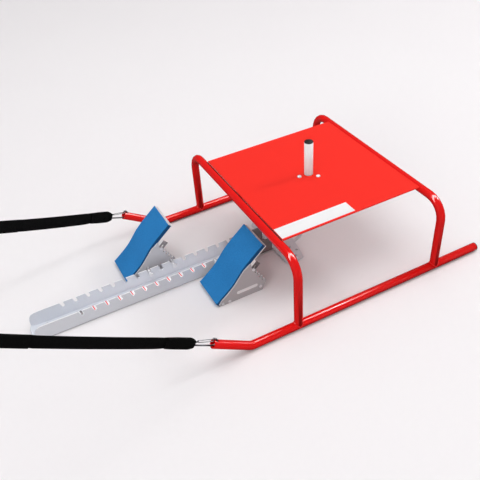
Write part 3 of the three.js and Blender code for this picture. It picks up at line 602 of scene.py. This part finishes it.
def pedal_inside_shade(side):
    """Mask of the painted shade on the faces of a pedal's side plates that are turned to the pedal's
    middle:
    the y of their direction and their place from the middle have opposite signs."""
    middle = PEDAL_ORIGIN[side][1] + SIDE_SIGN[side] * PAD_WIDTH / 2

    def mask(shader, place):
        from_middle = shader.maths("SUBTRACT", shader.axes(place)[1], middle)
        return shader.less(shader.product(facing(shader)[1], from_middle), -PAD_WIDTH / 8)
    return mask


def fold_contact_shadow(shader, place):
    """Mask of the painted contact shadow along the rail's fold where it lies on the floor."""
    _, y, z = shader.axes(place)
    aside = shader.size(shader.maths("SUBTRACT", y, RAIL_NOSE[1]))
    outer = shader.more(aside, RAIL_HALF - RAIL_SHEET)
    return shader.product(outer, shader.span(z, *FOLD_SHADOW_SPAN, 1.0, 0.0))


def flange_top_highlight(shader, place):
    """Mask of the painted highlight on the tops of the rail's teeth: level faces high up on the flanges.
    """
    high = shader.more(shader.axes(place)[2], RAIL_HEIGHT - TOOTH_TOP)
    return shader.product(shader.more(facing(shader)[2], 0.7), high)


def channel_inside_shade(shader, place):
    """Mask of the rail's inner faces, given a darker tone as painted shade: nearer its middle than the
    flanges' outer faces.
    """
    _, y, z = shader.axes(place)
    aside = shader.size(shader.maths("SUBTRACT", y, RAIL_NOSE[1]))
    return shader.product(shader.less(aside, RAIL_HALF - RAIL_SHEET), shader.more(z, 0.001))


def plate_finish(side, groups, base):
    """Sheet of a side plate: painted shade on its inside and its cut edges, and a painted highlight on the
    long front edge.
    """
    worn = tuple(0.88 * part for part in base)
    tints = [
        (pedal_inside_shade(side), PEDAL_SHADE),
        (cut_edge_shade, (0.12, 0.10, 0.105)),
        (sloping_edge_highlight, (0.88, 0.87, 0.875)),
    ]
    return coated_finish(f"{side}_plate_sheet", groups, base, worn, tints=tints, **SHEET_SKIN)


def foot_finish(side, groups, ears):
    """Sheet of a foot plate: its edges pale, with a painted highlight at the upper end, and painted shade
    on its underside and ears.
    """
    tints = [
        (sheet_end_highlight, PALE_EDGE),
        (sheet_side, PALE_EDGE),
        (backside_shade, PEDAL_SHADE),
        (below_pad(side, EAR_DEPTH), ears),
    ]
    return coated_finish(
        f"{side}_foot_sheet", groups, (0.74, 0.74, 0.765), (0.66, 0.655, 0.68), 0.45, level=0.4,
        tints=tints,
    )


def make_finishes():
    """Every finish of the sled, the block and the tow lines."""
    groups = {
        "wear": make_handling_wear(),
        "texture": make_fine_texture(),
        "weave": make_webbing_weave(),
    }
    return {
        "frame_paint": coated_finish(
            "frame_red", groups, (0.86, 0.007, 0.006), (0.82, 0.007, 0.006), 0.17, amount=0.1,
            # Painted shade on the tubes' undersides and in the crease beside the deck
            dulling=0.06, tints=[(underside, (0.50, 0.006, 0.006)), (deck_crease_shade, (0.13, 0.003, 0.003))],
        ),
        "weld_paint": coated_finish("weld_red", groups, (0.80, 0.008, 0.007), (0.74, 0.008, 0.007), 0.24),
        "deck_paint": coated_finish(
            "deck_red", groups, (0.89, 0.026, 0.016), (0.87, 0.028, 0.019), 0.6, scale=9.0, amount=0.2,
            level=0.12, thrown=(0.74, 0.43, 0.42),
        ),
        "post_paint": coated_finish(
            "post_white", groups, (0.97, 0.955, 0.96), (0.93, 0.915, 0.92), 0.4, level=0.3
        ),
        "black_plastic": coated_finish(
            "black_plug", groups, (0.008, 0.0075, 0.0075), (0.02, 0.018, 0.018), 0.55, level=0.15
        ),
        "grey_steel": coated_finish(
            "grey_sheet", groups, (0.70, 0.715, 0.76), (0.60, 0.61, 0.65), **SHEET_SKIN
        ),
        "rail_steel": coated_finish(
            "rail_sheet", groups, (0.78, 0.79, 0.84), (0.71, 0.72, 0.765), **SHEET_SKIN,
            tints=[
                # Painted light on the rail: darker channel inside, highlit tooth tops, shadowed tail and
                # fold
                (channel_inside_shade, (0.72, 0.745, 0.80)),
                (flange_top_highlight, (0.95, 0.945, 0.95)),
                (rail_tail_shadow, (0.26, 0.22, 0.225)),
                (fold_contact_shadow, (0.16, 0.15, 0.155)),
            ],
        ),
        # The near and far side plates are one sheet in two tones, the near one darker as painted shade
        "plate_steel_near": plate_finish("near", groups, (0.50, 0.475, 0.49)),
        "plate_steel_far": plate_finish("far", groups, (0.64, 0.64, 0.675)),
        # The foot plates' ears take painted shade, darker on the near pedal
        "foot_steel_near": foot_finish("near", groups, PEDAL_SHADE),
        "foot_steel_far": foot_finish("far", groups, (0.30, 0.28, 0.29)),
        "zinc_steel": coated_finish(
            "zinc_parts", groups, (0.84, 0.84, 0.87), (0.66, 0.655, 0.68), 0.38, metal=0.1, scale=60.0,
            amount=0.5,
        ),
        "hook_steel": coated_finish(
            "hook_wire", groups, (0.20, 0.20, 0.215), (0.12, 0.12, 0.125), 0.36, metal=0.9, scale=80.0,
            amount=0.5,
        ),
        "label": coated_finish(
            "bare_film", groups, (0.88, 0.88, 0.89), (0.80, 0.79, 0.80), 0.4, scale=20.0
        ),
        "pad_rubber": rubber_finish(
            "blue_rubber", groups, (0.023, 0.228, 0.570), (0.013, 0.160, 0.420),
            # cut is the painted shade of the pad's sides, end the painted highlight of its upper end
            cut=(0.006, 0.075, 0.21), end=(0.66, 0.63, 0.64),
        ),
        "webbing": webbing_finish("black_webbing", groups, (0.003, 0.003, 0.003), (0.009, 0.0088, 0.009)),
        "thread": coated_finish(
            "black_thread", groups, (0.005, 0.005, 0.005), (0.008, 0.008, 0.008), 0.8, level=0.1
        ),
        # The red ticks and the film get a painted glow through their emission
        "print_red": coated_finish(
            "red_print_painted_glow", groups, (0.88, 0.06, 0.055), (0.83, 0.07, 0.065), 0.5, scale=60.0,
            glow=(0.14, 0.004, 0.004),
        ),
        "film_white": coated_finish(
            "painted_glow_film", groups, (0.95, 0.945, 0.95), (0.93, 0.925, 0.93), 0.5, scale=60.0,
            glow=(0.33, 0.325, 0.33),
        ),
        # Grey mark of the first tick, darker than the red ticks
        "first_tick_grey": coated_finish(
            "grey_first_tick", groups, (0.22, 0.20, 0.21), (0.30, 0.28, 0.29), 0.5, scale=60.0
        ),
    }


# Mesh building


def make_piece(name, points, faces, finish, body, slot):
    """A piece from its points and faces, given its finish and set to ride on a body."""
    mesh = bpy.data.meshes.new(name)
    mesh.from_pydata(np.asarray(points, float).tolist(), [], [tuple(int(i) for i in f) for f in faces])
    mesh.validate()
    mesh.polygons.foreach_set("use_smooth", [True] * len(mesh.polygons))
    mesh.materials.append(finish)
    mesh.update()
    obj = bpy.data.objects.new(name, mesh)
    bpy.context.scene.collection.objects.link(obj)
    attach(obj, body)
    return obj


def sharpen(obj, degrees):
    """Smooth shading that keeps every edge steeper than this crisp."""
    obj.data.set_sharp_from_angle(angle=math.radians(degrees))


def grid_faces(rows, columns, closed_rows=False, closed_columns=False):
    """The quads of a grid of points, its last row or column joined to its first where closed."""
    r = np.arange(rows if closed_rows else rows - 1)
    c = np.arange(columns if closed_columns else columns - 1)
    r, c = (a.ravel() for a in np.meshgrid(r, c, indexing="ij"))
    r2, c2 = (r + 1) % rows, (c + 1) % columns
    return np.stack([r * columns + c, r * columns + c2, r2 * columns + c2, r2 * columns + c], 1).tolist()


def swept_points(line, sideways, normal, section):
    """Grid of points: at each place on the line, its own section's (across, out) in that place's axes.

    point = line + across x sideways + out x normal."""
    return (
        line[:, None, :]
        + section[:, :, 0, None] * sideways[:, None, :]
        + section[:, :, 1, None] * normal[:, None, :]
    )


def closed_sweep(grid):
    """Points and faces of a swept tube of closed sections, its two ends capped by one face each."""
    rows, columns, _ = grid.shape
    faces = grid_faces(rows, columns, closed_columns=True)
    faces.append(list(range(columns))[::-1])
    faces.append([(rows - 1) * columns + i for i in range(columns)])
    return grid.reshape(-1, 3), faces


def outward_faces(points, faces):
    """The faces, all turned round where the closed mesh's signed volume is negative."""
    volume = 0.0
    for face in faces:
        corner = points[face[0]]
        for a, b in zip(face[1:-1], face[2:]):
            volume += np.dot(corner, np.cross(points[a], points[b]))
    return faces if volume > 0 else [list(face)[::-1] for face in faces]


# Tow straps


def rounded_band(width, thickness, edge_steps=4, face_steps=8):
    """Closed section of webbing: two flat faces, and a half circle at each edge."""
    half, radius = width / 2, thickness / 2
    across = np.linspace(-half + radius, half - radius, face_steps)
    turn = np.linspace(-math.pi / 2, math.pi / 2, edge_steps + 2)[1:-1]
    top = np.stack([across, np.full_like(across, radius)], 1)
    right = np.stack([half - radius + radius * np.cos(turn), -radius * np.sin(turn)], 1)
    return np.concatenate([top, right, top[::-1] * (1, -1), right[::-1] * (-1, 1)])


def strap_route(side):
    """Centreline of the webbing in its own plan, (along, across): in from the sewn end of
    the fold, round the hook's wire, out along the run, round the eye and back to its sewn end.

    It eases from one layer's line to the other's by e = t^2 x (3 - 2t)."""
    tip, end = STRAP_TIP, STRAP_TIP + STRAP_LENGTH[side]
    layer = STRAP_THICKNESS / 2 + LAYER_GAP
    loop = HOOK_WIRE_RADIUS + layer
    turn = np.linspace(math.pi / 2, 1.5 * math.pi, WIRE_PLACES)
    fold = np.stack([tip + loop + layer + loop * np.cos(turn), loop * np.sin(turn)], 1)
    eye_centre = end - STRAP_EYE_HALF - 2 * layer
    eye_turn = np.linspace(-math.pi / 2, math.pi / 2, EYE_PLACES)
    eye_radius = STRAP_EYE_HALF + layer
    eye = np.stack([eye_centre + eye_radius * np.cos(eye_turn), eye_radius * np.sin(eye_turn)], 1)
    t = np.linspace(0, 1, EASE_PLACES)[1:]
    ease = t**2 * (3 - 2 * t)
    merge_in = tip + STRAP_FOLD
    front_sewn = tip + STRAP_SEWN
    eye_start = end - STRAP_EYE
    neck = eye_start - STRAP_NECK
    rear_sewn = eye_start - STRAP_SEWN
    pieces = [
        [(front_sewn, layer)],
        [(x, layer) for x in np.linspace(front_sewn - ROUTE_STEP, merge_in, LAYER_PLACES)],
        [(merge_in + (fold[0, 0] - merge_in) * e, layer + (loop - layer) * e) for e in ease[:-1]],
        fold.tolist(),
        [(fold[-1, 0] + (merge_in - fold[-1, 0]) * e, -loop + (loop - layer) * e) for e in ease],
        [(x, -layer) for x in np.linspace(merge_in + ROUTE_STEP, front_sewn, LAYER_PLACES)],
        [(x, 0.0) for x in np.linspace(front_sewn + LAYERS_MEET, rear_sewn - LAYERS_MEET, RUN_PLACES)],
        [(x, -layer) for x in np.linspace(rear_sewn, neck, LAYER_PLACES)],
        [(neck + (eye[0, 0] - neck) * e, -layer - (eye_radius - layer) * e) for e in ease[:-1]],
        eye.tolist(),
        [(eye[-1, 0] + (neck - eye[-1, 0]) * e, eye_radius - (eye_radius - layer) * e) for e in ease],
        [(x, layer) for x in np.linspace(neck - ROUTE_STEP, rear_sewn, LAYER_PLACES)],
    ]
    return np.array([point for piece in pieces for point in piece], float)


def in_strap_frame(side, along, across, up):
    """World points from places in the frame of a strap."""
    return (
        np.array(STRAP_ORIGIN[side])
        + np.multiply.outer(along, STRAP_ALONG[side])
        + np.multiply.outer(across, STRAP_ACROSS[side])
        + np.multiply.outer(up, STRAP_UP[side])
    )


def strap_sag(side, along):
    """Drop of the strap under its weight: a flat parabola over the run past the sewn end."""
    run = STRAP_LENGTH[side] - STRAP_SEWN
    share = np.clip((along - STRAP_TIP - STRAP_SEWN) / run, 0, 1)
    return -STRAP_SAG_SHARE * STRAP_LENGTH[side] * 4 * share * (1 - share)


def strap_half_width(side, along):
    """Half width along the strap: gathered at the hook's wire by the sine of a quarter turn, and pinched
    a little at the sewn edge by exp(-distance^2)."""
    gather = np.clip((along - STRAP_TIP) / STRAP_FOLD, 0, 1)
    half = (STRAP_TIP_WIDTH + (STRAP_WIDTH - STRAP_TIP_WIDTH) * np.sin(gather * math.pi / 2)) / 2
    from_seam = (along - STRAP_TIP - STRAP_SEWN) / SEAM_PINCH_RUN
    return half - SEAM_PINCH * np.exp(-(from_seam**2))


def make_strap(side, finishes):
    """One strap on edge: the webbing's section carried along its route, its width upright."""
    route = strap_route(side)
    step = np.gradient(route, axis=0)
    step /= np.linalg.norm(step, axis=1)[:, None]
    out = np.stack([-step[:, 1], step[:, 0]], 1)
    section = rounded_band(STRAP_WIDTH, STRAP_THICKNESS)
    up = section[None, :, 0] * strap_half_width(side, route[:, 0])[:, None] / (STRAP_WIDTH / 2)
    along = route[:, None, 0] + out[:, None, 0] * section[None, :, 1]
    across = route[:, None, 1] + out[:, None, 1] * section[None, :, 1]
    points, faces = closed_sweep(in_strap_frame(side, along, across, up + strap_sag(side, along)))
    faces = outward_faces(points, faces)
    strap = make_piece(f"strap_webbing_{side}", points, faces, finishes["webbing"], "sled", "webbing")
    travelled = np.concatenate([[0], np.cumsum(np.linalg.norm(np.diff(route, axis=0), axis=1))])
    strip = np.stack([np.broadcast_to(travelled[:, None], up.shape), up], 2).reshape(-1, 2)
    layer = strap.data.uv_layers.new(name="strip")
    corners = np.empty(len(strap.data.loops), np.int32)
    strap.data.loops.foreach_get("vertex_index", corners)
    layer.data.foreach_set("uv", strip[corners].ravel())
    sharpen(strap, SOFT_CREASE)
    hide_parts(f"strap_{side}")
    stitches = make_stitches(side, finishes)


def stitch_rows(side):
    """Seams (start, end) in (along, up): a box with a cross at each sewn end."""
    tip, end = STRAP_TIP, STRAP_TIP + STRAP_LENGTH[side]
    boxes = (
        (tip + STRAP_FOLD + FOLD_MARGIN, tip + STRAP_SEWN - SEAM_MARGIN),
        (end - STRAP_EYE - STRAP_SEWN + SEAM_MARGIN, end - STRAP_EYE - EYE_MARGIN),
    )
    rows = []
    for low, high in boxes:
        corners = [(x, up) for up in (-SEWN_BOX_HALF, SEWN_BOX_HALF) for x in (low, high)]
        rows += [(corners[a], corners[b]) for a, b in ((0, 1), (2, 3), (0, 2), (1, 3), (0, 3), (2, 1))]
    return rows


def make_stitches(side, finishes):
    """Thread of the sewn ends: a small pillow for each stitch, on both faces of the doubled strap.

    A pillow is four rings of points. Each ring lies a share of the stitch's length from its middle, and
    has a share of its radius."""
    shape = np.array([(-0.5, 0.25), (-0.3, 0.9), (0.3, 0.9), (0.5, 0.25)])
    rings, sides = len(shape), STITCH_SIDES
    turn = full_turn(sides)
    lengthways = STITCH_LENGTH * shape[:, :1]
    sideways = STITCH_RADIUS * shape[:, 1:] * np.cos(turn)
    outward = STITCH_RADIUS * STITCH_FLATNESS * shape[:, 1:] * np.sin(turn)
    pillow = grid_faces(rings, sides, closed_columns=True)
    pillow += [list(range(sides))[::-1], list(range((rings - 1) * sides, rings * sides))]
    points, faces = [], []
    for start, end in np.array(stitch_rows(side)):
        reach = math.hypot(*(end - start))
        ahead, up = (end - start) / reach
        for k in range(int(reach / STITCH_PITCH)):
            middle = start + np.array([ahead, up]) * (k + 0.5) * STITCH_PITCH
            for face in (-1, 1):
                x = middle[0] + ahead * lengthways - up * sideways
                y = face * (STRAP_THICKNESS + STITCH_LIFT) + outward
                z = middle[1] + up * lengthways + ahead * sideways + strap_sag(side, x)
                own = in_strap_frame(side, x, y, z).reshape(-1, 3)
                faces += [[len(points) + i for i in f] for f in outward_faces(own, pillow)]
                points += own.tolist()
    return make_piece(f"strap_stitches_{side}", points, faces, finishes["thread"], "sled", "webbing")


# Foot pads


def smooth_curve(knots, places):
    """Curve through the knots, each piece a cubic whose end slopes are half the chord between the knots
    on either side."""
    knots = np.asarray(knots, float)
    last = len(knots) - 1
    t = np.asarray(places) * last
    i = np.minimum(t.astype(int), last - 1)
    w = (t - i)[:, None]
    p0, p1, p2, p3 = (knots[np.clip(i + k, 0, last)] for k in (-1, 0, 1, 2))
    v0, v1 = (p2 - p0) / 2, (p3 - p1) / 2
    return (2 * p1 - 2 * p2 + v0 + v1) * w**3 + (3 * p2 - 3 * p1 - 2 * v0 - v1) * w**2 + v0 * w + p1


def pad_face(shares):
    """Places up the pad's face in its side view, and the directions square to it into the pedal.

    A knot lies its run of the way up the straight line, and its bow x the rise off it."""
    slope = unit((PAD_RUN, PAD_RISE))
    knots = [
        (run * PAD_RUN - bow * PAD_RISE * slope[1], PAD_BASE + run * PAD_RISE + bow * PAD_RISE * slope[0])
        for run, bow in PAD_BOW
    ]
    step = 1e-4
    before, after = (smooth_curve(knots, np.clip(shares + way, 0, 1)) for way in (-step, step))
    ahead = after - before
    ahead /= np.linalg.norm(ahead, axis=1)[:, None]
    return smooth_curve(knots, shares), np.stack([ahead[:, 1], -ahead[:, 0]], 1)


def make_pad(side, finishes):
    """Rubber pad: a section with rounded front edges carried up the bowed face. Its front sinks toward
    either end by edge - sqrt(edge^2 - (edge - reach)^2), reach being the distance from that end."""
    edge, back = PAD_EDGE, PAD_THICKNESS - PAD_BACK_GAP
    turn = np.linspace(0, math.pi / 2, PAD_ROUND_STEPS)
    first_rows = edge * (1 - np.cos(turn))
    length = math.hypot(PAD_RUN, PAD_RISE) * PAD_END
    middle_rows = np.linspace(edge, length - edge, PAD_ROWS)[1:-1]
    reach = np.concatenate([first_rows, middle_rows, (length - first_rows)[::-1]])
    from_end = np.minimum(np.minimum(reach, length - reach), edge)
    sink = edge - np.sqrt(np.maximum(edge**2 - (edge - from_end) ** 2, 0))
    face, inward = pad_face(reach / length * PAD_END)
    corner = np.stack([PAD_WIDTH - edge + edge * np.sin(turn), edge - edge * np.cos(turn)], 1)
    front = np.linspace(edge, PAD_WIDTH - edge, PAD_COLUMNS)[1:-1]
    section = np.concatenate([
        np.stack([front, np.zeros_like(front)], 1),
        corner,
        [(PAD_WIDTH, back)],
        np.stack([front[::-1], np.full_like(front, back)], 1),
        [(0, back)],
        np.array((PAD_WIDTH, 0)) + corner[::-1] * (-1, 1),
    ])
    depth = np.maximum(section[None, :, 1], 0) + sink[:, None] * (section[None, :, 1] < PAD_THICKNESS / 2)
    place = face[:, None, :] + inward[:, None, :] * depth[:, :, None]
    x0, y0 = PEDAL_ORIGIN[side]
    across = np.broadcast_to(section[None, :, 0] * SIDE_SIGN[side], depth.shape)
    points, faces = closed_sweep(np.stack([x0 + place[:, :, 0], y0 + across, place[:, :, 1]], 2))
    faces = outward_faces(points, faces)
    pad = make_piece(f"pad_{side}", points, faces, finishes["pad_rubber"], f"foot_{side}", "pad_rubber")
    sharpen(pad, SOFT_CREASE)
    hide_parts(f"foot_pad_{side}")


# Welds and printed marks


def make_weld(name, x, side, finishes):
    """Fillet where an arch stands on a runner: a small round section carried round the line where the two
    tubes meet, height = runner axis + sqrt(radius^2 - across^2), with a slow ripple along it."""
    turn = full_turn(BEAD_PLACES)
    y0 = SIDE_SIGN[side] * RUNNER_Y
    across = TUBE_RADIUS * np.sin(turn)
    high = TUBE_RADIUS + np.sqrt(np.maximum(TUBE_RADIUS**2 - across**2, 0))
    line = np.stack([x + TUBE_RADIUS * np.cos(turn), y0 + across, high], 1)
    outward = np.stack([np.cos(turn), np.sin(turn), np.zeros_like(turn)], 1)
    upward = np.broadcast_to((0.0, 0.0, 1.0), outward.shape)
    bead = BEAD_RADIUS * (1 + BEAD_RIPPLE * np.sin(turn * BEAD_RIPPLES))
    ring = full_turn(BEAD_SIDES)
    section = np.stack([bead[:, None] * np.cos(ring), bead[:, None] * np.sin(ring)], 2)
    points = swept_points(line, outward, upward, section).reshape(-1, 3)
    faces = grid_faces(len(turn), len(ring), closed_rows=True, closed_columns=True)
    make_piece(name, points, outward_faces(points, faces), finishes["weld_paint"], "sled", "frame_paint")


def thin_tile(corners, out, skin):
    """Points and faces of a thin tile: its four corners, and the same four moved out by its skin."""
    corners = np.asarray(corners, float)
    points = np.concatenate([corners, corners + np.asarray(out) * skin])
    faces = [[3, 2, 1, 0], [4, 5, 6, 7], [0, 1, 5, 4], [1, 2, 6, 5], [2, 3, 7, 6], [3, 0, 4, 7]]
    return points, outward_faces(points, faces)


def flat_print(tiles):
    """Points and faces of thin tiles on the film. Each is given by its corners, x from the nose and y
    from the rail's middle, and by its height."""
    points, faces = [], []
    for corners, height in tiles:
        raised = [(RAIL_NOSE[0] + x, RAIL_NOSE[1] + y, height) for x, y in corners]
        own_points, own_faces = thin_tile(raised, (0, 0, 1), PRINT_SKIN)
        faces += [[len(points) + i for i in face] for face in own_faces]
        points += own_points.tolist()
    return points, faces


def make_rail_marks(finishes):
    """Setting scale: a pale film with a painted glow along the channel's floor that shows through the near
    notches, and ticks across it at an even pitch, each leaning a little toward the nose as it goes in. The
    red ticks have a painted glow too, and the first tick is grey and twice as wide."""
    low, high = FILM_SPAN
    near, far = TICK_SPAN
    start, end = FILM_ENDS
    ticks = []
    for number in range(TICKS):
        x = FIRST_TICK + TICK_PITCH * number
        width = TICK_WIDTH if number else 2 * TICK_WIDTH
        corners = [(x + TICK_LEAN, near), (x + TICK_LEAN + width, near), (x + width, far), (x, far)]
        ticks.append((corners, FILM_HEIGHT + PRINT_SKIN))
    film = [([(start, low), (end, low), (end, high), (start, high)], FILM_HEIGHT)]
    marks = (
        ("rail_film", film, "film_white"),
        ("rail_first_tick", ticks[:1], "first_tick_grey"),
        ("rail_ticks", ticks[1:], "print_red"),
    )
    for name, tiles, finish in marks:
        make_piece(name, *flat_print(tiles), finishes[finish], "block", "label")


def draw_round(frame, node):
    """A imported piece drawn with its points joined, so that its round faces shade as one curve and only
    its steeper edges stay crisp."""
    mesh = frame["nodes"][node].data.copy()
    shell = bmesh.new()
    shell.from_mesh(mesh)
    bmesh.ops.remove_doubles(shell, verts=shell.verts, dist=SAME_POINT)
    shell.to_mesh(mesh)
    shell.free()
    mesh.polygons.foreach_set("use_smooth", [True] * len(mesh.polygons))
    obj = bpy.data.objects.new(f"{node}_round", mesh)
    bpy.context.scene.collection.objects.link(obj)
    sharpen(obj, HARD_CREASE)
    record = frame["record"]
    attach(obj, next(body for body, nodes in record["behaviour"]["bodies"].items() if node in nodes))
    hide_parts(node)


def dress_nodes(frame, finishes):
    """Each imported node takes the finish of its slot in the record, but the rail, the side plates and the
    foot plates have finishes of their own."""
    slots = {part["node"]: part["material_slot"] for part in frame["record"]["subparts"]}
    slots["rail"] = "rail_steel"
    for side in SIDES:
        slots[f"side_outer_{side}"] = slots[f"side_inner_{side}"] = f"plate_steel_{side}"
        slots[f"foot_plate_{side}"] = f"foot_steel_{side}"
    for name, obj in frame["nodes"].items():
        obj.data.materials.clear()
        obj.data.materials.append(finishes[slots[name]])


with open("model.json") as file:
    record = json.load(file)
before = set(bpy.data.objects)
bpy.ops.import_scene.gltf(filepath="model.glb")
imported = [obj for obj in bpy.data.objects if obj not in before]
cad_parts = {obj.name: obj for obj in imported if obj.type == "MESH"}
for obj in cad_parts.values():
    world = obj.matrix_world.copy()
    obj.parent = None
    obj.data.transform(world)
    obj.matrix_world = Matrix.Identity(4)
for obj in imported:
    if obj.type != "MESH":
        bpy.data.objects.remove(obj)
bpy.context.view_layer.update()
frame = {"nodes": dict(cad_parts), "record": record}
bpy.context.scene.view_settings.view_transform = "Standard"
make_camera()
make_studio()
finishes = make_finishes()
dress_nodes(frame, finishes)
for side in SIDES:
    make_strap(side, finishes)
    make_pad(side, finishes)
    for place, x in zip(("front", "rear"), ARCH_X):
        make_weld(f"weld_{place}_{side}", x, side, finishes)
make_rail_marks(finishes)
for node in ROUND_NODES:
    draw_round(frame, node)
